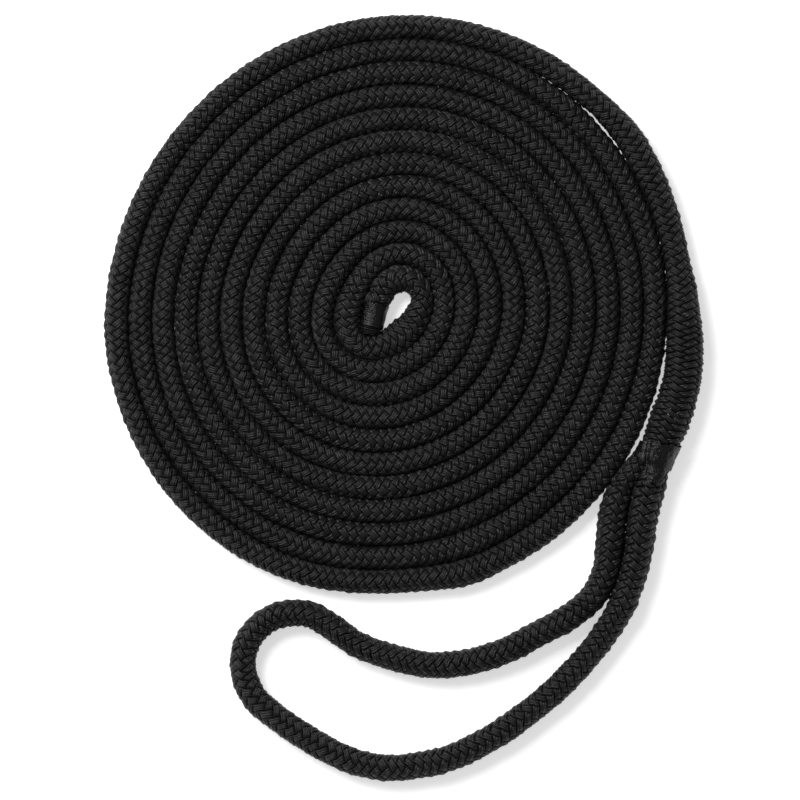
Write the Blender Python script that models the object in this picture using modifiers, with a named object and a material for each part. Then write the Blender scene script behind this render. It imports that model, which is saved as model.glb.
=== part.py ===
"""A double-braid dock line: the line wound into one flat coil, and its spliced eye laid out beside it.

Metres, +Z up, the line lying on z = 0. The origin is under the middle of the whole object. Everything is built
in the coil's own frame, whose z axis is the middle of the coil, and one empty carries it to its place.
"""

from math import atan2, cos, exp, hypot, pi, radians, sin

import bmesh
import bpy
import numpy as np
from mathutils import Matrix

# ---- driving dimensions -------------------------------------------------------------------------------------

COIL_CENTRE = (-0.0051, 0.0512)  # the coil's middle, seen from the object's origin
LINE_RADIUS = 0.00635  # a 12.7 mm line
EYE_RADIUS = 0.0070  # the cover is fuller in the eye, where it has been milked over the splice
COVER_WALL = 0.0020  # braided cover
CORE_WALL = 0.0017  # braided core, hollow where a tail is buried in it
GAP = 0.0003  # between pieces that touch

PITCH = 0.01272  # from one turn of the coil to the next
OUTER_TURN_RADIUS = 0.1452  # centreline of the turn that starts on the +X side
SPLICE_TURNS = -0.875  # where the splice leaves the coil, in turns inwards from that start
CAP_TURNS = 10.47  # where the bitter end leaves the coil, likewise

SPLICE_ROUTE = (  # from the coil's outer turn down to the throat
    (0.1112, 0.1100),
    (0.1256, 0.0946),
    (0.1363, 0.0787),
    (0.1454, 0.0587),
    (0.1517, 0.0392),
    (0.1553, 0.0218),
    (0.1579, 0.0055),
    (0.1589, -0.0111),
    (0.1590, -0.0252),
    (0.1579, -0.0390),
    (0.1549, -0.0523),
    (0.1521, -0.0604),
    (0.1488, -0.0685),
    (0.1462, -0.0742),
    (0.1434, -0.0791),
)
SPLICE_RADII = (
    0.00635,
    0.0070,
    0.0072,
    0.0069,
    0.0067,
    0.0068,
    0.0078,
    0.0090,
    0.0097,
    0.0099,
    0.0102,
    0.0104,
    0.0100,
    0.0094,
    0.0093,
)

EYE_ROUTE = (  # from the throat down the outer leg, round the crown and back up the inner leg
    (0.1474, -0.0820),
    (0.1433, -0.0893),
    (0.1410, -0.0962),
    (0.1387, -0.1045),
    (0.1364, -0.1133),
    (0.1352, -0.1210),
    (0.1344, -0.1285),
    (0.1333, -0.1360),
    (0.1319, -0.1430),
    (0.1297, -0.1507),
    (0.1271, -0.1582),
    (0.1244, -0.1658),
    (0.1175, -0.1775),
    (0.1060, -0.1930),
    (0.0920, -0.2080),
    (0.0770, -0.2210),
    (0.0570, -0.2355),
    (0.0340, -0.2475),
    (0.0160, -0.2525),
    (-0.0040, -0.2545),
    (-0.0240, -0.2505),
    (-0.0460, -0.2395),
    (-0.0660, -0.2260),
    (-0.0775, -0.2155),
    (-0.0832, -0.2020),
    (-0.0822, -0.1880),
    (-0.0745, -0.1765),
    (-0.0620, -0.1700),
    (-0.0470, -0.1700),
    (-0.0340, -0.1775),
    (-0.0200, -0.1870),
    (0.0000, -0.1940),
    (0.0200, -0.1980),
    (0.0420, -0.1960),
    (0.0620, -0.1895),
    (0.0800, -0.1800),
    (0.0960, -0.1715),
    (0.1070, -0.1622),
    (0.1125, -0.1544),
    (0.1153, -0.1475),
    (0.1168, -0.1420),
    (0.1177, -0.1336),
    (0.1187, -0.1247),
    (0.1199, -0.1147),
    (0.1221, -0.1058),
    (0.1255, -0.0978),
    (0.1300, -0.0915),
    (0.1348, -0.0846),
    (0.1387, -0.0776),
)
EYE_END_RADIUS = 0.0042  # each leg where the throat sleeve grips it
EYE_GRIP = 0.0095  # how much of each leg is held that thin
EYE_TAPER = 0.022  # length over which a leg then swells to its full radius

THROAT_LENGTH = 0.0120
THROAT_AHEAD = 0.0016  # the sleeve's middle is that far past the end of the splice
THROAT_RADIUS = 0.0106
SLEEVE_WALL = 0.0008

BITTER_END = (-0.0139, -0.0146)  # middle of the capped end's face
BITTER_END_RADIUS = 0.0058
CAP_LENGTH = 0.0148
CAP_ROOM = 0.0008  # the coil's hole is that much wider than its innermost turn, for the capped end
END_SET_BACK = 0.0016  # where the capped end starts, from the last point of the coil's spiral

RIM_ROUNDING = 0.0030  # on the edges of the coil's slab
ROUNDING_SEGMENTS = 3
RIM_POINTS = 120
HOLE_POINTS = 60
TUBE_RESOLUTION = 3  # 10 sides
SLEEVE_SIDES = 28
STEPS_BETWEEN = 16  # between two points of a route, while it is smoothed
SPLICE_POINTS = 22
EYE_POINTS = 52


# ---- the line's route ---------------------------------------------------------------------------------------


def coil_radius(turns):
    """How far the line's middle is from the coil's middle, after so many turns inwards.

    The turns share one gentle wave, and the innermost ones, bent hardest, are the least round. The outermost one
    bulges before it ends.
    """
    angle = 2 * pi * turns
    tight = max(0.0, (turns - 7) / 3.5) ** 2
    radius = OUTER_TURN_RADIUS - PITCH * turns
    if turns < 0:
        radius += 0.0021 * exp(-(((turns + 0.165) / 0.050) ** 2)) + 0.0019 * exp(-(((turns + 0.210) / 0.018) ** 2))
    radius += 0.0034 * cos(angle + radians(113 + 5.7 * turns))
    radius += (0.0031 + 0.0005 * tight) * cos(2 * (angle - radians(51)))
    radius += (0.0006 + 0.0012 * tight) * cos(3 * (angle + radians(28)))
    return radius + 0.0011 * tight * cos(4 * (angle - radians(40)))


def coil_point(turns, offset=0.0):
    """A point beside the line's middle in the coil, the offset outwards, as (x, y)."""
    radius = coil_radius(turns) + offset
    return radius * cos(2 * pi * turns), radius * sin(2 * pi * turns)


def through(points, count):
    """That many points, evenly spaced, on a smooth curve through the given ones."""
    route = np.array(points, float)
    ends = [2 * route[0] - route[1], *route, 2 * route[-1] - route[-2]]
    fine = []
    for a, b, c, d in zip(ends, ends[1:], ends[2:], ends[3:], strict=False):
        for t in np.linspace(0, 1, STEPS_BETWEEN, endpoint=False):
            bend = 2 * a - 5 * b + 4 * c - d + (3 * b - a - 3 * c + d) * t
            fine.append(0.5 * (2 * b + (c - a) * t + bend * t * t))
    fine = np.array([*fine, route[-1]])
    steps = np.linalg.norm(np.diff(fine[:, :2], axis=0), axis=1)
    along = np.concatenate([[0], np.cumsum(steps)])
    at = np.linspace(0, along[-1], count)
    return np.stack([np.interp(at, along, fine[:, k]) for k in range(fine.shape[1])], axis=1)


def splice_path():
    """The splice as rows of x, y, z, radius. It lies on the ground, and rises a little into the throat."""
    rows = []
    last = len(SPLICE_ROUTE) - 1
    for i, ((x, y), radius) in enumerate(zip(SPLICE_ROUTE, SPLICE_RADII, strict=True)):
        rise = THROAT_RADIUS - radius if i >= last - 1 else 0
        rows.append((x, y, radius + rise, radius))
    return through(rows, SPLICE_POINTS)


def eye_path():
    """The eye as rows of x, y, z, radius, thinner and higher at both ends, where the sleeve holds it."""
    flat = through([(x, y) for x, y in EYE_ROUTE], EYE_POINTS)
    steps = np.linalg.norm(np.diff(flat, axis=0), axis=1)
    along = np.concatenate([[0], np.cumsum(steps)])
    from_end = np.minimum(along, along[-1] - along)
    full = np.clip((from_end - EYE_GRIP) / EYE_TAPER, 0, 1)
    full = full * full * (3 - 2 * full)
    radius = EYE_END_RADIUS + (EYE_RADIUS - EYE_END_RADIUS) * full
    height = THROAT_RADIUS + (EYE_RADIUS - THROAT_RADIUS) * full
    return np.column_stack([flat, np.maximum(height, radius), radius])


# ---- helpers ------------------------------------------------------------------------------------------------


def clear_scene():
    for obj in list(bpy.data.objects):
        bpy.data.objects.remove(obj, do_unlink=True)


def finish(name, colour, roughness):
    """A Principled material."""
    material = bpy.data.materials.new(name)
    material.use_nodes = True
    shader = material.node_tree.nodes["Principled BSDF"]
    shader.inputs["Base Color"].default_value = (*colour, 1)
    shader.inputs["Roughness"].default_value = roughness
    shader.inputs["Metallic"].default_value = 0
    return material


def add(name, data, material, parent):
    obj = bpy.data.objects.new(name, data)
    data.materials.append(material)
    bpy.data.collections["dock_line"].objects.link(obj)
    obj.parent = parent
    return obj


def tube(name, path, material, parent, inset=0.0, wall=None):
    """A tube along rows of x, y, z, radius, that much thinner than they say: solid, or with a wall and open ends."""
    curve = bpy.data.curves.new(name, "CURVE")
    curve.dimensions = "3D"
    curve.bevel_depth = 1.0
    curve.bevel_resolution = TUBE_RESOLUTION
    curve.use_fill_caps = wall is None
    curve.twist_mode = "Z_UP"
    line = curve.splines.new("POLY")
    line.points.add(len(path) - 1)
    for point, (x, y, z, radius) in zip(line.points, path, strict=True):
        point.co = (x, y, z, 1)
        point.radius = radius - inset
    obj = add(name, curve, material, parent)
    if wall is not None:
        shell = obj.modifiers.new("wall", "SOLIDIFY")
        shell.thickness = wall
        shell.offset = -1
        shell.use_even_offset = True
    return obj


def sleeve(name, half_width, half_height, length, centre, direction, material, parent):
    """A thin sleeve of heat-shrink tube, oval in section, round an axis that lies flat."""
    mesh = bpy.data.meshes.new(name)
    shape = bmesh.new()
    bmesh.ops.create_cone(shape, cap_ends=False, segments=SLEEVE_SIDES, radius1=1, radius2=1, depth=length)
    turn = Matrix.Rotation(pi / 2, 4, "Y")  # its axis from Z to X, its height left along Z
    bmesh.ops.transform(shape, matrix=turn, verts=shape.verts)
    bmesh.ops.scale(shape, vec=(1, half_width, half_height), verts=shape.verts)
    bmesh.ops.recalc_face_normals(shape, faces=shape.faces)
    shape.to_mesh(mesh)
    shape.free()
    mesh.shade_smooth()
    obj = add(name, mesh, material, parent)
    obj.location = centre
    obj.rotation_euler.z = atan2(direction[1], direction[0])
    shell = obj.modifiers.new("wall", "SOLIDIFY")
    shell.thickness = SLEEVE_WALL
    shell.offset = -1
    return obj


def coil_solid(name, material, parent):
    """The coil's outer shape, a flat spiral slab: a step on its rim where the splice leaves, one inside for the cap."""
    inset = GAP / 2
    edge = LINE_RADIUS - inset
    first, last = SPLICE_TURNS, SPLICE_TURNS + 1
    rim = [coil_point(turns, edge) for turns in np.linspace(first, last, RIM_POINTS)]
    hole = [coil_point(turns, CAP_ROOM - edge) for turns in np.linspace(CAP_TURNS - 1, CAP_TURNS, HOLE_POINTS)]
    curve = bpy.data.curves.new(name, "CURVE")
    curve.dimensions = "2D"
    curve.fill_mode = "BOTH"
    curve.extrude = LINE_RADIUS
    for outline in (rim, hole):
        line = curve.splines.new("POLY")
        line.points.add(len(outline) - 1)
        for point, (x, y) in zip(line.points, outline, strict=True):
            point.co = (x, y, 0, 1)
        line.use_cyclic_u = True
    obj = add(name, curve, material, parent)
    obj.location.z = LINE_RADIUS
    weld = obj.modifiers.new("weld", "WELD")
    weld.merge_threshold = 0.00001
    round_rim = obj.modifiers.new("round_rim", "BEVEL")
    round_rim.width = RIM_ROUNDING
    round_rim.segments = ROUNDING_SEGMENTS
    round_rim.limit_method = "ANGLE"
    round_rim.angle_limit = radians(50)
    return obj


# ---- the object ---------------------------------------------------------------------------------------------


def main():
    clear_scene()
    group = bpy.data.collections.new("dock_line")
    bpy.context.scene.collection.children.link(group)
    frame = bpy.data.objects.new("coil_frame", None)
    group.objects.link(frame)
    frame.location = (*COIL_CENTRE, 0)

    cover = finish("braided_cover", (0.012, 0.012, 0.012), 0.75)
    core = finish("braided_core", (0.60, 0.60, 0.58), 0.80)
    shrink = finish("shrink_sleeve", (0.016, 0.016, 0.016), 0.45)

    coil_solid("line_coil", cover, frame)

    splice = splice_path()
    core_inset = COVER_WALL + GAP
    tail_inset = core_inset + CORE_WALL + GAP
    tube("splice_cover", splice, cover, frame, wall=COVER_WALL)
    tube("splice_core", splice, core, frame, inset=core_inset, wall=CORE_WALL)
    tube("buried_cover_tail", splice, cover, frame, inset=tail_inset)

    eye = eye_path()
    tube("eye_cover", eye, cover, frame, wall=COVER_WALL)
    tube("eye_core", eye, core, frame, inset=core_inset)

    heading = np.subtract(SPLICE_ROUTE[-1], SPLICE_ROUTE[-2])
    throat = splice[-1, :2] + THROAT_AHEAD * heading / hypot(*heading)
    sleeve(
        "throat_sleeve",
        THROAT_RADIUS,
        THROAT_RADIUS,
        THROAT_LENGTH,
        (*throat, THROAT_RADIUS),
        heading,
        shrink,
        frame,
    )

    start = np.array(coil_point(CAP_TURNS))
    tip = np.array(BITTER_END)
    along = (tip - start) / hypot(*(tip - start))
    near = start + along * END_SET_BACK
    outer = BITTER_END_RADIUS + GAP + SLEEVE_WALL
    end_path = [(*p, outer, BITTER_END_RADIUS) for p in (near, tip)]
    tube("bitter_end", end_path, cover, frame)
    middle = tip - along * (CAP_LENGTH / 2 - SLEEVE_WALL)
    sleeve("end_cap", outer, outer, CAP_LENGTH, (*middle, outer), along, shrink, frame)


main()
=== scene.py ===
from math import cos, exp, pi, radians, sin

import bmesh
import bpy
import numpy as np
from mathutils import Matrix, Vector, noise


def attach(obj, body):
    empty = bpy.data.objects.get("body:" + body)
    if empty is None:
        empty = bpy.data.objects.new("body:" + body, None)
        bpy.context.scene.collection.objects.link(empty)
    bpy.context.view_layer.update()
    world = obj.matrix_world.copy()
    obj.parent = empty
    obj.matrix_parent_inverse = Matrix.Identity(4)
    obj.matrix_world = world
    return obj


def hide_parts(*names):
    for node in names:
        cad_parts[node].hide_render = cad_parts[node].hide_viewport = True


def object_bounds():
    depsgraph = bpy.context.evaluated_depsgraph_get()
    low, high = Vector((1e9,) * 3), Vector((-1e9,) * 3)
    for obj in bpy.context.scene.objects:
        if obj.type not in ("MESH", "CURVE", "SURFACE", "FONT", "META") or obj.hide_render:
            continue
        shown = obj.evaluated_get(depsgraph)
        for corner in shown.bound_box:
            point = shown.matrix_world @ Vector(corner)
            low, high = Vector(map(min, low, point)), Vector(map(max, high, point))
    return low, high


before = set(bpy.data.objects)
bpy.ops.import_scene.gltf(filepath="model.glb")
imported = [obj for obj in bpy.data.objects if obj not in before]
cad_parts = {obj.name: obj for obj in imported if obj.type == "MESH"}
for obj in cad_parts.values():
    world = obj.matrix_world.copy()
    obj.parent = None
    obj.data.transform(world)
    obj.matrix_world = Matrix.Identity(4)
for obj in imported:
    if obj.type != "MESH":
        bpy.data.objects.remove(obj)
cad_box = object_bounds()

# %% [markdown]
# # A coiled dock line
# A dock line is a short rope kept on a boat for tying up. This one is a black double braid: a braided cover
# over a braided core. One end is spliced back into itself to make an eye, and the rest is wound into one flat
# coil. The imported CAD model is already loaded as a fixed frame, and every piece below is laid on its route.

MM = 0.001


def report(label, value):
    print(f"{label}: {value}")


report("CAD box, metres", [[round(v, 4) for v in corner] for corner in cad_box])

# %% [markdown]
# ## The camera
# A product picture of a flat coil is taken from straight above. A long lens from far away keeps the rope's
# sides from showing more at the edges of the picture than in its middle.

# %% Camera
CAMERA_HEIGHT = 3.0
PICTURE_WIDTH = 0.440  # metres across, at the level of the rope's middle
SENSOR = 36.0

camera_data = bpy.data.cameras.new("camera_above")
camera = bpy.data.objects.new("camera_above", camera_data)
bpy.context.scene.collection.objects.link(camera)
camera.location = (-0.00235, -0.00105, CAMERA_HEIGHT)
camera_data.sensor_width = SENSOR
camera_data.lens = SENSOR * (CAMERA_HEIGHT - 0.006) / PICTURE_WIDTH
camera_data.clip_end = 20
bpy.context.scene.camera = camera
report("lens, mm", round(camera_data.lens, 1))

# %% [markdown]
# ## The rope's route
# The route comes first, because everything else rides on it. It follows the CAD model's route: a flat spiral,
# then the thick splice beside the coil, then the eye from the throat and back to it. It leaves that route by
# a few millimetres only where the coil lies loose. The numbers are measured from the middle of the coil, and
# COIL_CENTRE says where that is in the frame.

# %% Route, in metres from the coil's middle
COIL_CENTRE = (-0.0051, 0.0512)
LINE_RADIUS = 0.00635
EYE_RADIUS = 0.0070
CAPPED_RADIUS = 0.0060  # the line's radius where the cap grips it
FULL_SPLICE_RADIUS = 0.0102
THROAT_RADIUS = 0.0106
EYE_GRIP = 0.0095
EYE_TAPER = 0.022
FULL_SHARE = 1.11  # how far the crowns reach: the stitches swell a little past the rope's nominal size
SPLICE_HEIGHT = 0.0100  # the splice's half height at most, so that it slides into the throat sleeve
# a row of braid is this long, and shorter where the cover is bunched up over the splice
COIL_ROW = 5.2 * MM
SPLICE_ROW = 3.7 * MM
PITCH = 0.01272
OUTER_TURN_RADIUS = 0.1452
# the coil runs between these two, counted in turns inwards
SPLICE_TURNS = -0.875
CAP_TURNS = 10.47
BITTER_END = (-0.0139, -0.0146)
SPLICE_ROUTE = (  # from the coil's outer turn down to the throat
    (0.1119, 0.1107),
    (0.1262, 0.0951),
    (0.1363, 0.0787),
    (0.1454, 0.0587),
    (0.1517, 0.0392),
    (0.1553, 0.0218),
    (0.1579, 0.0055),
    (0.1589, -0.0111),
    (0.1590, -0.0252),
    (0.1579, -0.0390),
    (0.1549, -0.0523),
    (0.1521, -0.0604),
    (0.1488, -0.0685),
    (0.1462, -0.0742),
    (0.1434, -0.0791),
    (0.1414, -0.0826),
)
SPLICE_RADII = (
    0.00635,
    0.0074,
    0.0077,
    0.0073,
    0.0070,
    0.0071,
    0.0082,
    0.0094,
    0.0100,
    0.0102,
    0.0105,
    0.0107,
    0.0106,
    0.0098,
    0.0090,
    0.0084,
)
EYE_ROUTE = (  # from the throat down the outer leg, round the crown and back up the inner leg
    (0.1474, -0.0820),
    (0.1433, -0.0893),
    (0.1410, -0.0962),
    (0.1387, -0.1045),
    (0.1364, -0.1133),
    (0.1352, -0.1210),
    (0.1344, -0.1285),
    (0.1333, -0.1360),
    (0.1319, -0.1430),
    (0.1297, -0.1507),
    (0.1271, -0.1582),
    (0.1244, -0.1658),
    (0.1175, -0.1775),
    (0.1060, -0.1930),
    (0.0920, -0.2080),
    (0.0770, -0.2210),
    (0.0570, -0.2355),
    (0.0340, -0.2475),
    (0.0160, -0.2525),
    (-0.0040, -0.2545),
    (-0.0240, -0.2505),
    (-0.0460, -0.2395),
    (-0.0660, -0.2260),
    (-0.0775, -0.2155),
    (-0.0832, -0.2020),
    (-0.0822, -0.1880),
    (-0.0745, -0.1765),
    (-0.0620, -0.1700),
    (-0.0470, -0.1700),
    (-0.0340, -0.1775),
    (-0.0200, -0.1870),
    (0.0000, -0.1940),
    (0.0200, -0.1980),
    (0.0420, -0.1960),
    (0.0620, -0.1895),
    (0.0800, -0.1800),
    (0.0960, -0.1715),
    (0.1070, -0.1622),
    (0.1125, -0.1544),
    (0.1153, -0.1475),
    (0.1168, -0.1420),
    (0.1177, -0.1336),
    (0.1187, -0.1247),
    (0.1199, -0.1147),
    (0.1221, -0.1058),
    (0.1255, -0.0978),
    (0.1300, -0.0915),
    (0.1348, -0.0846),
    (0.1387, -0.0776),
)
# a leg's radius near the throat, as (distance from the end, radius)
OUTER_LEG = (
    (0.000, 0.0062),
    (0.008, 0.0071),
    (0.012, 0.0077),
    (0.016, 0.0082),
    (0.024, 0.0086),
    (0.033, 0.0084),
    (0.041, 0.0082),
    (0.056, 0.0079),
    (0.079, 0.0077),
    (0.101, 0.0070),
)
INNER_LEG = (
    (0.000, 0.0050),
    (0.008, 0.0052),
    (0.016, 0.0059),
    (0.024, 0.0067),
    (0.033, 0.0074),
    (0.042, 0.0077),
    (0.061, 0.0078),
    (0.076, 0.0072),
    (0.100, 0.0070),
)


# where the outermost turn wanders outwards: (turns, length, distance)
WANDERS = (
    (-0.875, 0.050, 0.0010),
    (-0.485, 0.035, 0.0010),
    (-0.310, 0.040, 0.0010),
    (-0.200, 0.030, 0.0010),
    (-0.095, 0.050, 0.0015),
)


def smoothstep(value, low, high):
    t = min(max((value - low) / (high - low), 0), 1)
    return t * t * (3 - 2 * t)


def coil_radius(turns):
    """How far the line's middle is from the coil's middle, after so many turns inwards.

    The turns share one gentle wave, and the innermost ones, bent hardest, are the least round. The outermost
    one bulges before it ends.
    """
    angle = 2 * pi * turns
    tight = max(0.0, (turns - 7) / 3.5) ** 2
    radius = OUTER_TURN_RADIUS - PITCH * turns
    if turns < 0:
        radius += 0.0021 * exp(-(((turns + 0.165) / 0.050) ** 2))
        radius += 0.0019 * exp(-(((turns + 0.210) / 0.018) ** 2))
    radius += 0.0034 * cos(angle + radians(113 + 5.7 * turns))
    radius += (0.0031 + 0.0005 * tight) * cos(2 * (angle - radians(51)))
    radius += (0.0006 + 0.0012 * tight) * cos(3 * (angle + radians(28)))
    return radius + 0.0011 * tight * cos(4 * (angle - radians(40)))


def coil_point(turns):
    return coil_radius(turns) * cos(2 * pi * turns), coil_radius(turns) * sin(2 * pi * turns)


def smooth_through(points, steps=16):
    """A smooth curve through the given rows of numbers, with so many steps between one row and the next."""
    route = np.array(points, float)
    ends = [2 * route[0] - route[1], *route, 2 * route[-1] - route[-2]]
    fine = []
    for a, b, c, d in zip(ends, ends[1:], ends[2:], ends[3:], strict=False):
        for t in np.linspace(0, 1, steps, endpoint=False):
            bend = 2 * a - 5 * b + 4 * c - d + (3 * b - a - 3 * c + d) * t
            fine.append(0.5 * (2 * b + (c - a) * t + bend * t * t))
    return np.array([*fine, route[-1]])


def distance_along(rows):
    steps = np.linalg.norm(np.diff(rows[:, :2], axis=0), axis=1)
    return np.concatenate([[0], np.cumsum(steps)])


def laid(flat, radius, pitch, height, spacing=0.001):
    """A route moved to the coil's place: rows of x, y, z, radius and length of a row of braid."""
    rows = np.column_stack([flat[:, 0] + COIL_CENTRE[0], flat[:, 1] + COIL_CENTRE[1], height, radius, pitch])
    along = distance_along(rows)
    at = np.linspace(0, along[-1], int(along[-1] / spacing) + 1)
    return np.stack([np.interp(at, along, column) for column in rows.T], axis=1)


def loose_radius(turns):
    """The coil's radius, with the places where the line isn't held.

    The outermost turn wanders outwards, and the innermost one opens.
    """
    radius = coil_radius(turns) + 0.0026 * exp(-(((turns - 10.02) / 0.08) ** 2))
    for place, length, size in WANDERS:
        radius += size * exp(-(((turns - place) / length) ** 2))
    return radius


def coil_row(turns):
    """The line's middle, half width and half height at that turn.

    Turns that lie side by side share the room between them.
    """
    here = loose_radius(turns)
    outside = smoothstep(turns, 0.125, 0.225)
    inside = 1 - smoothstep(turns, 9.2, 9.45)
    outer = here + LINE_RADIUS + outside * ((loose_radius(turns - 1) - here) / 2 - LINE_RADIUS)
    inner = here - LINE_RADIUS - inside * ((here - loose_radius(turns + 1)) / 2 - LINE_RADIUS)
    # the tight inner turns are squeezed, so they are wider in places
    oval = 0.5 - 0.5 * cos(2 * (2 * pi * turns - radians(22)))
    wider = smoothstep(turns, 9.2, 9.7) * (0.0003 + 0.0016 * oval)
    wider += 0.0012 * exp(-(((turns - 9.545) / 0.07) ** 2)) - 0.0005 * exp(-(((turns - 9.66) / 0.05) ** 2))
    wider -= 0.0005 * smoothstep(turns, 10.22, 10.34)
    far, radius = (outer + inner) / 2 - wider, (outer - inner) / 2 + wider
    return far * cos(2 * pi * turns), far * sin(2 * pi * turns), radius, min(radius, LINE_RADIUS)


def standing_route():
    """From inside the bitter end's cap outwards round the coil, and on through the splice to the throat."""
    start, tip = np.array(coil_point(CAP_TURNS)), np.array(BITTER_END)
    rows = [(*(tip + (start - tip) * share), CAPPED_RADIUS, CAPPED_RADIUS) for share in (0.1, 0.5, 0.85)]
    rows += [coil_row(turns) for turns in np.linspace(CAP_TURNS, SPLICE_TURNS, 1100)[:-1]]
    splice = [(*spot, radius, radius) for spot, radius in zip(SPLICE_ROUTE, SPLICE_RADII, strict=True)]
    rows = np.array([*rows, *smooth_through(splice)])
    fat = np.clip((rows[:, 2] - LINE_RADIUS) / (FULL_SPLICE_RADIUS - LINE_RADIUS), 0, 1)
    height = np.minimum(FULL_SHARE * rows[:, 3], SPLICE_HEIGHT)
    return laid(rows[:, :2], rows[:, 2], COIL_ROW + (SPLICE_ROW - COIL_ROW) * fat, height)


def eye_route():
    """From the throat down the outer leg, round the crown and up the inner leg."""
    flat = smooth_through(EYE_ROUTE)
    along = distance_along(flat)
    radius = np.interp(along, *zip(*OUTER_LEG, strict=True)) - EYE_RADIUS
    radius += np.interp(along[-1] - along, *zip(*INNER_LEG, strict=True))
    # at the throat both legs come out of the middle of the splice, so they start above the ground
    from_end = np.minimum(along, along[-1] - along)
    full = [smoothstep(far, EYE_GRIP, EYE_GRIP + EYE_TAPER) for far in from_end]
    legs = THROAT_RADIUS + (EYE_RADIUS - THROAT_RADIUS) * np.array(full)
    height = np.maximum(FULL_SHARE * radius, legs)
    return laid(flat, radius, np.full(len(flat), COIL_ROW), height)


standing = standing_route()
eye = eye_route()
report("standing part, m", round(distance_along(standing)[-1], 3))
report("eye, m", round(distance_along(eye)[-1], 3))

# %% [markdown]
# ## One row of stitches
# A 16-strand braid has eight strands that wind one way and eight that wind the other. Each passes over two
# and under two. Unrolled, the crossings make a lattice of diamonds, and a strand shows over two diamonds at a
# time. Whether it is over or under depends only on the column, so one short row of sixteen diamonds repeats
# for ever. Each diamond is a small grid, sheared into place and raised into half of a pillow. Where a strand
# dives under its neighbour, the neighbour bulges over it, so each stitch ends up shorter and wider than its
# two diamonds.

# %% The row as a mesh: x in columns, y in rows, z the height of the pillow
COLUMNS = 16
GRID = 4
TUCK = 0.20  # how far the end of a stitch is pushed in by its neighbour, as a share of a diamond


def crowded(t):
    """Moves grid lines towards the groove on each side, where the surface turns most."""
    return t - 0.11 * sin(2 * pi * t)


def pillow(across, along):
    """Height of a stitch, 0 in the grooves round it and 1 on its crown. across is 0 to 1, along is 0 to 2."""
    return (1 - abs(2 * across - 1) ** 2.4) ** 0.55 * (1 - abs(along - 1) ** 3.4) ** 0.55


def tucked(a, b, kind):
    """Where a point of a diamond goes, once each stitch's end is pushed in by the side of its neighbour."""
    side, end = (b, a) if kind < 2 else (a, b)  # across the strand and along it
    push = TUCK * sin(pi * side) ** 0.7
    swell = TUCK * sin(pi * end) ** 0.7
    if kind in (0, 2):
        end, side = end + push * (1 - end) ** 2, side - swell * (1 - side) ** 2
    else:
        end, side = end - push * end**2, side + swell * side**2
    return (end, side) if kind < 2 else (side, end)


def braid_row():
    shape = bmesh.new()
    uv = shape.loops.layers.uv.new("strand")
    owner = shape.verts.layers.int.new("stitch")
    face_owner = shape.faces.layers.int.new("stitch_of_face")
    for column in range(COLUMNS):
        kind = column % 4
        second_half = column % 2
        stitch = column // 2 + COLUMNS // 2 * (kind == 3)  # 8 more where it began in the row before
        made = bmesh.ops.create_grid(shape, x_segments=GRID, y_segments=GRID, size=0.5)
        spot = {}
        for vert in made["verts"]:
            a, b = crowded(vert.co.x + 0.5), crowded(vert.co.y + 0.5)
            across, along = (b, a) if kind < 2 else (a, b)
            along += second_half
            spot[vert] = (across, along)
            a, b = tucked(a, b, kind)
            vert.co = (column - 1 + a + b, (a - b + second_half) / 2, pillow(across, along))
            vert[owner] = stitch
        for face in {face for vert in made["verts"] for face in vert.link_faces}:
            face.smooth = True
            face[face_owner] = stitch
            for loop in face.loops:
                across, along = spot[loop.vert]
                loop[uv].uv = (across, along / 2)
    mesh = bpy.data.meshes.new("braid_row")
    shape.to_mesh(mesh)
    shape.free()
    return mesh


row_mesh = braid_row()
report("faces in one row", len(row_mesh.polygons))

# %% [markdown]
# ## Bending rows of braid onto the route
# An Array modifier repeats the row into a flat strip as long as the piece needs. Each point of the strip is
# then moved onto the rope: its column becomes an angle round the rope, its row a distance along the route,
# and its height a distance from the groove. Real braid is never quite even, so each stitch gets its own
# fullness, the lattice shifts a little from place to place, and the roll of the rope wanders.

# %% Bend a strip onto a route
GROOVE_SHARE = 0.21  # depth of the grooves between stitches, as a share of the rope's radius


def count_rows(route):
    """How many rows of braid there are from the start of the route to each of its points."""
    density = 1 / route[:, 4]
    between = np.diff(distance_along(route)) * (density[1:] + density[:-1]) / 2
    return np.concatenate([[0], np.cumsum(between)])


def wander(rows, seed):
    """A slow, even wave along the rope, about 1 at most, different for each seed."""
    return 0.6 * np.sin(rows / (17.3 + seed) + seed) + 0.4 * np.sin(rows / (5.9 + 0.7 * seed) + 2 * seed)


def chance(stitch, row, seed):
    """A random number from 0 to 1 for each stitch."""
    mixed = np.sin(stitch * 12.9898 + row * 78.233 + seed * 37.719) * 43758.5453
    return mixed - np.floor(mixed)


def stitch_numbers(mesh, attribute, first_row, copies):
    """Which of the eight pairs of columns each point or face is in, and in which row its stitch began."""
    owner = np.empty(len(mesh.attributes[attribute].data), np.int32)
    mesh.attributes[attribute].data.foreach_get("value", owner)
    copy = np.arange(len(owner)) // (len(owner) // copies)
    pairs = COLUMNS // 2
    return owner % pairs, first_row + copy + owner // pairs


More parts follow.
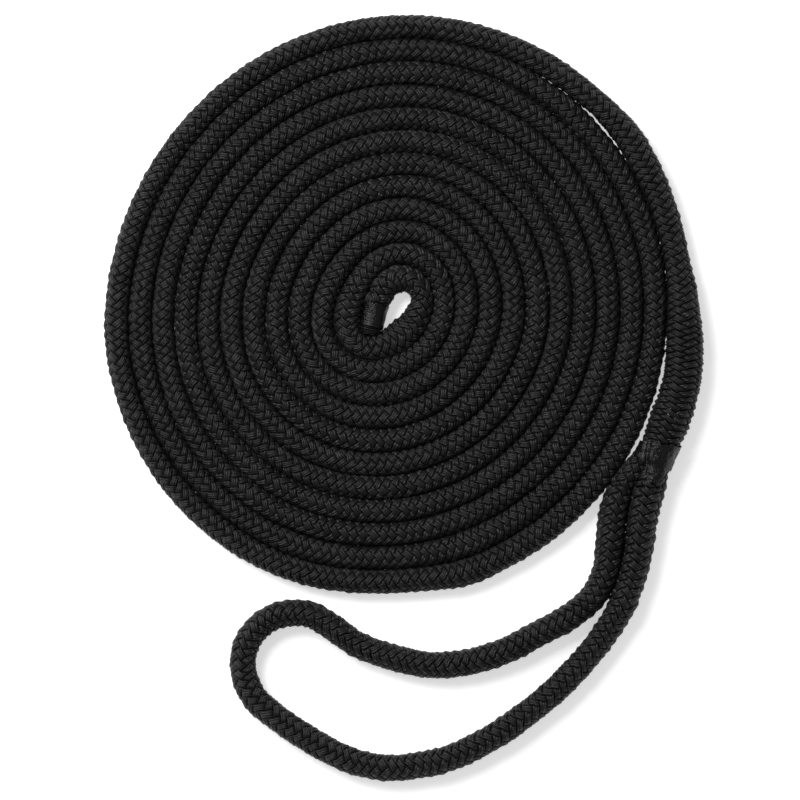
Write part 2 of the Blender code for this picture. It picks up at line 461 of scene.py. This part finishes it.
def bend_strip(mesh, route, first_row, copies, roll):
    spots = np.empty(len(mesh.vertices) * 3)
    mesh.vertices.foreach_get("co", spots)
    column, row, height = spots.reshape(-1, 3).T
    row = row + first_row
    pair, began = stitch_numbers(mesh, "stitch", first_row, copies)
    around = 2 * pi * column / COLUMNS
    angle = around + 0.045 * np.sin(2 * around - 1.37 * row + 1) + 0.03 * np.sin(3 * around + 0.61 * row)
    angle += roll(row)
    shifted = row + 0.09 * np.sin(3 * around + 0.83 * row) + 0.06 * np.sin(around - 1.9 * row)
    counted = count_rows(route)
    flow = np.gradient(route[:, :3], distance_along(route), axis=0)
    flow /= np.linalg.norm(flow, axis=1)[:, None]
    middle = np.stack([np.interp(shifted, counted, route[:, k]) for k in range(3)], axis=1)
    ahead = np.stack([np.interp(shifted, counted, flow[:, k]) for k in range(3)], axis=1)
    radius = np.interp(shifted, counted, route[:, 3])
    side = np.stack([ahead[:, 1], -ahead[:, 0], np.zeros(len(row))], axis=1)
    side /= np.linalg.norm(side, axis=1)[:, None]
    up = np.cross(side, ahead)
    # past either end of the route, go straight on
    short = np.minimum(shifted, 0) + np.maximum(shifted - counted[-1], 0)
    middle += ahead * (short * np.interp(shifted, counted, route[:, 4]))[:, None]
    fullness = 0.72 + 0.40 * chance(pair, began, 1)
    reach = radius * (FULL_SHARE - GROOVE_SHARE * (1 - height * fullness))
    # where the rope is wider than its height allows, it is flattened
    flatter = np.minimum(1, middle[:, 2] / (radius * FULL_SHARE))
    spots = middle + side * (reach * np.cos(angle))[:, None]
    spots += up * (reach * flatter * np.sin(angle))[:, None]
    mesh.vertices.foreach_set("co", spots.astype(np.float32).ravel())
    tone = mesh.attributes.new("tone", "FLOAT", "FACE")
    shade = chance(*stitch_numbers(mesh, "stitch_of_face", first_row, copies), 2)
    tone.data.foreach_set("value", shade.astype(np.float32))
    mesh.attributes.remove(mesh.attributes["stitch"])
    mesh.attributes.remove(mesh.attributes["stitch_of_face"])


def braided_piece(name, route, first_row, last_row, roll):
    """A closed tube of braid, over those rows of the route."""
    strip = bpy.data.objects.new(name, row_mesh)
    bpy.context.scene.collection.objects.link(strip)
    repeat = strip.modifiers.new("rows", "ARRAY")
    repeat.use_relative_offset = False
    repeat.use_constant_offset = True
    repeat.constant_offset_displace = (0, 1, 0)
    repeat.count = last_row - first_row
    mesh = bpy.data.meshes.new_from_object(strip.evaluated_get(bpy.context.evaluated_depsgraph_get()))
    bpy.data.objects.remove(strip)
    bend_strip(mesh, route, first_row, last_row - first_row, roll)
    shape = bmesh.new()
    shape.from_mesh(mesh)
    bmesh.ops.remove_doubles(shape, verts=shape.verts, dist=0.004 * MM)
    bmesh.ops.holes_fill(shape, edges=[edge for edge in shape.edges if edge.is_boundary], sides=0)
    bmesh.ops.recalc_face_normals(shape, faces=shape.faces)
    open_edges = sum(not edge.is_manifold for edge in shape.edges)
    shape.to_mesh(mesh)
    shape.free()
    if open_edges:
        report(name + ", edges that aren't closed", open_edges)
    mesh.name = name
    mesh.set_sharp_from_angle(angle=radians(62))
    piece = bpy.data.objects.new(name, mesh)
    bpy.context.scene.collection.objects.link(piece)
    return piece


def stretch_of(route, first_row, last_row, points):
    """The route's middle over those rows, as that many points, for the cord's own length."""
    counted = count_rows(route)
    at = np.linspace(max(first_row, 0), min(last_row, counted[-1]), points)
    return np.stack([np.interp(at, counted, route[:, k]) for k in range(3)], axis=1)


# %% [markdown]
# ## The rope, piece by piece
# The whole rope is one length, but a mesh of it all would be too heavy to handle. It is cut into pieces that
# meet in the grooves between two rows, where no join can be seen.

# %% The rope
standing_rows = int(count_rows(standing)[-1])
eye_rows = int(count_rows(eye)[-1])
report("rows of braid, standing part and eye", (standing_rows, eye_rows))
SPLICE_LENGTH = 0.225
far = distance_along(standing)
splice_start = int(np.interp(far[-1] - SPLICE_LENGTH, far, count_rows(standing)))
cuts = [round(splice_start * share) for share in (0, 0.25, 0.5, 0.75, 1)]
NAMES = ("inner_turns", "second_turns", "third_turns", "outer_turns")
# one figure for each whole piece, although its thickness changes along it
ROWS_PER_ROLL = 700  # rows of braid over which the standing part rolls once round its own middle


def standing_roll(rows):
    return rows * 2 * pi / ROWS_PER_ROLL + 0.5 * wander(rows, 3.1)


def eye_roll(rows):
    return 0.4 * wander(rows, 5.2)


def declare(piece, points, nodes):
    length = float(np.linalg.norm(np.diff(points, axis=0), axis=1).sum())
    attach(piece, "root")
    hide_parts(*nodes)
    report(piece.name, f"{length:.3f} m, {len(piece.data.polygons)} faces")


cords = []
for name, first, last in zip(NAMES, cuts, cuts[1:], strict=False):
    piece = braided_piece(name, standing, first, last, standing_roll)
    declare(piece, stretch_of(standing, first, last, 220), ["line_coil"])
    cords.append(piece)
splice = braided_piece("splice_braid", standing, cuts[-1], standing_rows, standing_roll)
splice_route = stretch_of(standing, cuts[-1], standing_rows, 30)
declare(splice, splice_route, ["splice_cover"])
cords.append(splice)
eye_piece = braided_piece("eye_braid", eye, 0, eye_rows, eye_roll)
loop_route = stretch_of(eye, 0, eye_rows, 40)
declare(eye_piece, loop_route, ["eye_cover"])
cords.append(eye_piece)

# %% [markdown]
# ## Tubes
# Both sleeves begin as a flat grid. It is rolled into an open tube by a function that says where each point
# goes, then a Solidify modifier gives it a wall, so its cut edges show their thickness.

# %% A rolled and thickened grid
SLEEVE_WALL = 0.8 * MM


def rolled(name, sides, rings, wall, place):
    """An open tube. place(turn, along) gives the outer surface's points, with both numbers from 0 to 1."""
    shape = bmesh.new()
    bmesh.ops.create_grid(shape, x_segments=sides, y_segments=rings, size=0.5)
    for vert in shape.verts:
        vert.co = place(vert.co.x + 0.5, vert.co.y + 0.5)
    bmesh.ops.remove_doubles(shape, verts=shape.verts, dist=0.01 * MM)
    mesh = bpy.data.meshes.new(name)
    shape.to_mesh(mesh)
    shape.free()
    shell = bpy.data.objects.new(name, mesh)
    bpy.context.scene.collection.objects.link(shell)
    thicken = shell.modifiers.new("wall", "SOLIDIFY")
    thicken.thickness = wall
    thicken.offset = -1
    made = bpy.data.meshes.new_from_object(shell.evaluated_get(bpy.context.evaluated_depsgraph_get()))
    shell.modifiers.clear()
    shape = bmesh.new()
    shape.from_mesh(made)
    bmesh.ops.recalc_face_normals(shape, faces=shape.faces)
    for face in shape.faces:
        face.smooth = True
    shape.to_mesh(made)
    volume = shape.calc_volume(signed=True)
    shape.free()
    made.set_sharp_from_angle(angle=radians(50))
    shell.data = made
    report(name, f"{len(made.polygons)} faces, {volume * 1e9:.0f} mm3")
    return shell


def wrinkle(spot, size, seed=0.0):
    """A smooth random bump, about 0.5 at most, with lumps of that size."""
    return noise.noise(Vector(spot) / size + Vector((seed, 0, 0)))


# %% [markdown]
# ## The throat sleeve
# Where the eye closes, the two legs and the end of the splice are gripped by a sleeve of heat-shrink tube.
# Warm air pulls it in until it follows what is under it: a crease between the legs, and a tongue over the
# start of the outer leg. Its edges are cut by hand, so they are ragged.

# %% The throat sleeve
THROAT = Vector((0.14245 + COIL_CENTRE[0], -0.08085 + COIL_CENTRE[1], 0))
DOWN_THE_THROAT = Vector((-0.486, -0.874, 0))
ACROSS = Vector((0.874, -0.486, 0))
THROAT_HEIGHT = 10.6  # of its middle above the floor, in millimetres like every size in throat_point
LEG_DROP = 1.4  # how much lower the outer leg lies at the end of the tongue


def throat_point(turn, along):
    angle = 2 * pi * turn  # 0 on the outer side, a quarter turn on top
    degrees = 360 * turn if turn < 0.75 else 360 * turn - 360
    start = -5.6 - 4.0 * cos(angle) + 1.1 * wrinkle((3 * cos(angle), 3 * sin(angle), 0), 0.55)
    tongue = 8.0 * exp(-(abs((degrees - 74) / 31) ** 3))
    ragged = 0.7 * wrinkle((3 * cos(angle), 3 * sin(angle), 7), 0.6)
    end = 7.4 - 3.0 * max(0, cos(angle)) ** 3 + tongue + ragged
    s = start + (end - start) * along
    # an oval that gets lower from the splice to the legs, with a crease over the gap between the legs
    width, half = 11.0 + 0.03 * (s + 7) + 0.4 * smoothstep(-s, 4, 9), 10.5 - 0.10 * (s + 8)
    middle = 0.5 + 0.1 * (s + 7)
    t, z = middle + width * cos(angle), THROAT_HEIGHT + half * sin(angle)
    crease = 1.3 * smoothstep(s, -9, -3) * exp(-(((t + 4.4 - 0.386 * s) / 1.3) ** 2))
    z -= crease * max(0, sin(angle))
    # past the fork it lies on the outer leg
    leg = 4.85 + 0.187 * (s - 7)
    leg_radius = 7.2 + 0.14 * (s - 7)
    leg_height = THROAT_HEIGHT - LEG_DROP * smoothstep(s, 8, 15)
    out = Vector((t - leg, z - leg_height))
    onto = out.normalized() * (leg_radius + 1.25) if out.length > 0.001 else out
    share = smoothstep(s, 4.5, 9) * smoothstep(t, -3.5, 0.5)
    t, z = t + share * (leg + onto.x - t), z + share * (leg_height + onto.y - z)
    spot = (t, s, z)
    lift = 0.34 * wrinkle(spot, 3.1) + 0.20 * wrinkle(spot, 1.2, 9) - 0.25 * smoothstep(s, end - 1.2, end)
    lift += 0.30 * exp(-(((degrees - 15) / 5) ** 2))
    away = Vector((t - middle, z - THROAT_HEIGHT)).normalized()
    t, z = t + lift * away.x, max(z + lift * away.y, 0.05)
    return THROAT + (DOWN_THE_THROAT * s + ACROSS * t + Vector((0, 0, z))) * MM


throat = rolled("throat_sleeve_shrunk", 150, 56, SLEEVE_WALL, throat_point)
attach(throat, "root")
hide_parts("throat_sleeve")

# %% [markdown]
# ## The bitter end
# The free end of the line is called the bitter end. It is cut with a hot knife, which melts the nylon into a
# hard lumpy face, and a short sleeve of the same heat-shrink tube is drawn over it, its far edge curled in.

# %% The end's cap
MOUTH = Vector((-0.01040 + COIL_CENTRE[0], 0.00050 + COIL_CENTRE[1], 0))
TIP = Vector((-0.01380 + COIL_CENTRE[0], -0.01440 + COIL_CENTRE[1], 0))
CAP_AXIS = (TIP - MOUTH).normalized()
CAP_ACROSS = Vector((-CAP_AXIS.y, CAP_AXIS.x, 0))
CAP_LENGTH = (TIP - MOUTH).length / MM
CAP_HEIGHT = 7.0  # of its middle above the floor, in millimetres like every size in cap_point


def cap_point(turn, along):
    angle = 2 * pi * turn
    start = 0.7 * wrinkle((3 * cos(angle), 3 * sin(angle), 3), 0.5)
    s = start + (CAP_LENGTH - start) * along
    radius = 7.15 - 0.02 * s + 0.30 * smoothstep(s, 3, 0)
    radius += 0.70 * smoothstep(s, CAP_LENGTH - 1.7, CAP_LENGTH - 1.1)
    radius -= 0.70 * smoothstep(s, CAP_LENGTH - 0.9, CAP_LENGTH)
    radius -= 0.50 * exp(-(((s - CAP_LENGTH + 2.1) / 0.45) ** 2))
    spot = (radius * cos(angle), s, radius * sin(angle))
    radius += 0.15 * wrinkle(spot, 3.4, 5) + 0.10 * wrinkle(spot, 1.3, 2)
    height = max(CAP_HEIGHT + radius * sin(angle), 0.05)
    return MOUTH + (CAP_AXIS * s + CAP_ACROSS * radius * cos(angle) + Vector((0, 0, height))) * MM


cap = rolled("end_cap_shrunk", 120, 52, SLEEVE_WALL, cap_point)
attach(cap, "root")
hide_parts("end_cap")

# %% [markdown]
# ### The melted face
# A sphere squashed flat and pushed about by noise. Only its lip shows past the cap.

# %% The melted face
shape = bmesh.new()
bmesh.ops.create_uvsphere(shape, u_segments=56, v_segments=28, radius=1)
for vert in shape.verts:
    across, up, out = vert.co
    lump = 1 + 0.16 * wrinkle((across, up, out), 0.30, 4) + 0.10 * wrinkle((across, up, out), 0.13, 1)
    spot = CAP_ACROSS * (6.35 * across * lump) + CAP_AXIS * (3.1 * out * lump - 0.3)
    vert.co = TIP + (spot + Vector((0, 0, CAP_HEIGHT + 6.3 * up * lump))) * MM
bmesh.ops.recalc_face_normals(shape, faces=shape.faces)
for face in shape.faces:
    face.smooth = True
mesh = bpy.data.meshes.new("melted_end")
shape.to_mesh(mesh)
shape.free()
melted = bpy.data.objects.new("melted_end", mesh)
bpy.context.scene.collection.objects.link(melted)
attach(melted, "root")
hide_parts("bitter_end")
report("melted end, faces", len(mesh.polygons))


# %% [markdown]
# ## Materials
# The rope is spun nylon yarn, dyed black outside and undyed in the core, and melted at its bitter end. The
# sleeves are black heat-shrink plastic. Each is built from the numbers a maker would give: how wide a yarn
# is, how fine a filament, how rough the plastic's skin.

# %% Material helpers
def linear(hex_colour):
    """sRGB hex to linear RGBA."""
    parts = [int(hex_colour[i : i + 2], 16) / 255 for i in (1, 3, 5)]
    return (*[c / 12.92 if c <= 0.04045 else ((c + 0.055) / 1.055) ** 2.4 for c in parts], 1)


def add_node(tree, kind, settings=(), links=()):
    """A node with its settings, and with its sockets linked to those of other nodes."""
    node = tree.nodes.new(kind)
    for key, value in dict(settings).items():
        if isinstance(key, int) or key in node.inputs:
            node.inputs[key].default_value = value
        else:
            setattr(node, key, value)
    for socket, source in dict(links).items():
        tree.links.new(source, node.inputs[socket])
    return node


def new_material(name):
    material = bpy.data.materials.new(name)
    material.use_nodes = True
    return material, material.node_tree, material.node_tree.nodes["Principled BSDF"]


# %% [markdown]
# ### Black nylon yarn
# A strand is three yarns side by side, each of many filaments with a slight twist. Shade is painted along the
# yarns' edges, and highlight is painted on their crowns as thin broken lines of painted sheen, which gives a
# soft, slightly silky black. Each stitch takes the dye and the light a little differently.

# %% Black nylon yarn
YARNS = 3
nylon, tree, shader = new_material("spun_nylon_yarn_black")
strand = add_node(tree, "ShaderNodeUVMap", {"uv_map": "strand"})
parts = add_node(tree, "ShaderNodeSeparateXYZ", links={0: strand.outputs["UV"]})
across, along = parts.outputs["X"], parts.outputs["Y"]
tone = add_node(tree, "ShaderNodeAttribute", {"attribute_name": "tone"}).outputs["Fac"]
# a yarn is round: 0 at its edges and 1 on its crown
phase = add_node(tree, "ShaderNodeMath", {"operation": "MULTIPLY", 1: YARNS * pi}, {0: across})
wave = add_node(tree, "ShaderNodeMath", {"operation": "SINE"}, {0: phase.outputs[0]})
crown = add_node(tree, "ShaderNodeMath", {"operation": "ABSOLUTE"}, {0: wave.outputs[0]})
# filaments run along the yarn and lean across it
lean = add_node(tree, "ShaderNodeMath", {"operation": "MULTIPLY_ADD", 1: 0.35}, {0: along, 2: across})
fine_x = add_node(tree, "ShaderNodeMath", {"operation": "MULTIPLY", 1: 22}, {0: lean.outputs[0]})
fine_y = add_node(tree, "ShaderNodeMath", {"operation": "MULTIPLY", 1: 3.2}, {0: along})
fine_z = add_node(tree, "ShaderNodeMath", {"operation": "MULTIPLY", 1: 60}, {0: tone})
place = add_node(
    tree, "ShaderNodeCombineXYZ", links={0: fine_x.outputs[0], 1: fine_y.outputs[0], 2: fine_z.outputs[0]}
)
filaments = add_node(
    tree, "ShaderNodeTexNoise", {"Scale": 1.0, "Detail": 3.0, "Roughness": 0.6}, {"Vector": place.outputs[0]}
)
relief = add_node(
    tree,
    "ShaderNodeMath",
    {"operation": "MULTIPLY_ADD", 1: 0.55},
    {0: filaments.outputs[0], 2: crown.outputs[0]},
)
bump = add_node(
    tree, "ShaderNodeBump", {"Strength": 1.0, "Distance": 0.35 * MM}, {"Height": relief.outputs[0]}
)
# the colour: painted shade between the yarns and painted highlight on their crowns, with the stitch's own
# tone
own = add_node(tree, "ShaderNodeMapRange", {"To Min": 0.30, "To Max": 1.0}, {"Value": tone})
# painted shade at the yarns' edges, painted highlight on their crowns
edge = add_node(
    tree, "ShaderNodeMapRange", {"From Max": 0.6, "To Min": 0.35, "To Max": 1.0}, {"Value": crown.outputs[0]}
)
# painted sheen: lighter broken lines along the filaments
painted_filament_sheen = add_node(
    tree,
    "ShaderNodeMapRange",
    {"From Min": 0.32, "From Max": 0.68, "To Min": 0.35, "To Max": 1.25},
    {"Value": filaments.outputs[0]},
)
# the stitch's own tone, times the painted yarn shade and the painted filament sheen
share = add_node(tree, "ShaderNodeMath", {"operation": "MULTIPLY"}, {0: own.outputs[0], 1: edge.outputs[0]})
share = add_node(
    tree, "ShaderNodeMath", {"operation": "MULTIPLY"}, {0: share.outputs[0], 1: painted_filament_sheen.outputs[0]}
)
colour = add_node(
    tree,
    "ShaderNodeMix",
    {"data_type": "RGBA", 6: linear("#020202"), 7: linear("#1e1e1f")},
    {0: share.outputs[0]},
)
tree.links.new(colour.outputs[2], shader.inputs["Base Color"])
tree.links.new(bump.outputs[0], shader.inputs["Normal"])
shader.inputs["Roughness"].default_value = 0.48
shader.inputs["Specular IOR Level"].default_value = 0.32
for piece in cords:
    piece.data.materials.clear()
    piece.data.materials.append(nylon)

# %% [markdown]
# ### Heat-shrink plastic
# Polyolefin tube is smooth black plastic. Its skin takes on a fine pebble when it shrinks, so a highlight on
# it breaks into bright grains while the rest stays flat and dark.

# %% Heat-shrink plastic
shrink, tree, shader = new_material("heat_shrink_polyolefin_black")
place = add_node(tree, "ShaderNodeTexCoord").outputs["Object"]
pebbles = add_node(
    tree, "ShaderNodeTexNoise", {"Scale": 1500, "Detail": 2.0, "Roughness": 0.6}, {"Vector": place}
)
patches = add_node(tree, "ShaderNodeTexNoise", {"Scale": 260, "Detail": 2.0}, {"Vector": place})
bump = add_node(
    tree, "ShaderNodeBump", {"Strength": 1.0, "Distance": 0.38 * MM}, {"Height": pebbles.outputs[0]}
)
rough = add_node(tree, "ShaderNodeMapRange", {"To Min": 0.10, "To Max": 0.27}, {"Value": patches.outputs[0]})
tree.links.new(bump.outputs[0], shader.inputs["Normal"])
tree.links.new(rough.outputs[0], shader.inputs["Roughness"])
shader.inputs["Base Color"].default_value = linear("#080809")
shader.inputs["Specular IOR Level"].default_value = 0.29
for piece in (throat, cap):
    piece.data.materials.clear()
    piece.data.materials.append(shrink)

# %% [markdown]
# ### Melted nylon
# Where the hot knife cut, the yarns have run together into a glassy crust with small pits.

# %% Melted nylon
crust, tree, shader = new_material("melted_nylon_black")
place = add_node(tree, "ShaderNodeTexCoord").outputs["Object"]
pits = add_node(
    tree, "ShaderNodeTexNoise", {"Scale": 900, "Detail": 4.0, "Roughness": 0.65}, {"Vector": place}
)
bump = add_node(tree, "ShaderNodeBump", {"Strength": 0.9, "Distance": 0.4 * MM}, {"Height": pits.outputs[0]})
rough = add_node(tree, "ShaderNodeMapRange", {"To Min": 0.25, "To Max": 0.65}, {"Value": pits.outputs[0]})
tree.links.new(bump.outputs[0], shader.inputs["Normal"])
tree.links.new(rough.outputs[0], shader.inputs["Roughness"])
shader.inputs["Base Color"].default_value = linear("#0e0e0f")
melted.data.materials.append(crust)

# %% [markdown]
# ### The parts inside
# The core and the cover's buried tail can't be seen, but they keep a weave of their own: two sets of diagonal
# waves that cross, about 3 mm apart. Their colour is darker where the weave is low: painted shade in its
# hollows.


# %% The parts inside
def inner_braid(name, dark, light):
    material, tree, shader = new_material(name)
    place = add_node(tree, "ShaderNodeTexCoord").outputs["Object"]
    waves = [
        add_node(
            tree,
            "ShaderNodeTexWave",
            {"bands_direction": way, "Scale": 0.314 / (3 * MM), "Distortion": 0.6},
            {"Vector": place},
        ).outputs[1]
        for way in ("DIAGONAL", "X")
    ]
    weave = add_node(tree, "ShaderNodeMath", {"operation": "MAXIMUM"}, {0: waves[0], 1: waves[1]})
    bump = add_node(
        tree, "ShaderNodeBump", {"Strength": 0.8, "Distance": 0.5 * MM}, {"Height": weave.outputs[0]}
    )
    # painted shade: the colour is darker where the weave is low
    colour = add_node(
        tree, "ShaderNodeMix", {"data_type": "RGBA", 6: linear(dark), 7: linear(light)}, {0: weave.outputs[0]}
    )
    tree.links.new(colour.outputs[2], shader.inputs["Base Color"])
    tree.links.new(bump.outputs[0], shader.inputs["Normal"])
    shader.inputs["Roughness"].default_value = 0.75
    return material


white_core = inner_braid("undyed_nylon_core_braid", "#8f8f8a", "#cfcfc9")
black_tail = inner_braid("buried_nylon_cover_tail", "#080808", "#1f1f20")
INSIDE = {"splice_core": white_core, "eye_core": white_core, "buried_cover_tail": black_tail}
for name, material in INSIDE.items():
    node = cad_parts[name]
    node.data.materials.clear()
    node.data.materials.append(material)
report("CAD parts kept inside", tuple(INSIDE))

# %% [markdown]
# ## The floor
# A matt white sheet, so that only the rope's own shadow marks where it lies. It gives a little light of its
# own, as a light table does, which keeps it white and its shadows soft.

# %% Floor
shape = bmesh.new()
bmesh.ops.create_grid(shape, x_segments=1, y_segments=1, size=3)
mesh = bpy.data.meshes.new("floor")
shape.to_mesh(mesh)
shape.free()
floor = bpy.data.objects.new("floor", mesh)
bpy.context.scene.collection.objects.link(floor)
paper, tree, shader = new_material("matt_white_paper")
shader.inputs["Base Color"].default_value = linear("#f4f4f4")
shader.inputs["Roughness"].default_value = 0.9
shader.inputs["Specular IOR Level"].default_value = 0.2
shader.inputs["Emission Color"].default_value = (1, 1, 1, 1)
shader.inputs["Emission Strength"].default_value = 0.53
mesh.materials.append(paper)

# %% [markdown]
# ## The light
# A dim white surround fills the shadows, and one large soft lamp above the upper left shapes the stitches and
# throws a soft shadow to the lower right. The Standard view keeps the paper white and the rope black.

# %% Light
sky = bpy.data.worlds.new("studio")
bpy.context.scene.world = sky
sky.use_nodes = True
sky.node_tree.nodes["Background"].inputs["Color"].default_value = (1, 1, 1, 1)
sky.node_tree.nodes["Background"].inputs["Strength"].default_value = 0.28
lamp_data = bpy.data.lights.new("softbox", "AREA")
lamp_data.size = 1.0
lamp_data.energy = 38
lamp = bpy.data.objects.new("softbox", lamp_data)
bpy.context.scene.collection.objects.link(lamp)
lamp.location = (-0.9, 0.9, 1.4)
lamp.rotation_euler = Vector((0.9, -0.9, -1.4)).to_track_quat("-Z", "Y").to_euler()
bpy.context.scene.view_settings.view_transform = "Standard"
report("lamp, watts", lamp_data.energy)
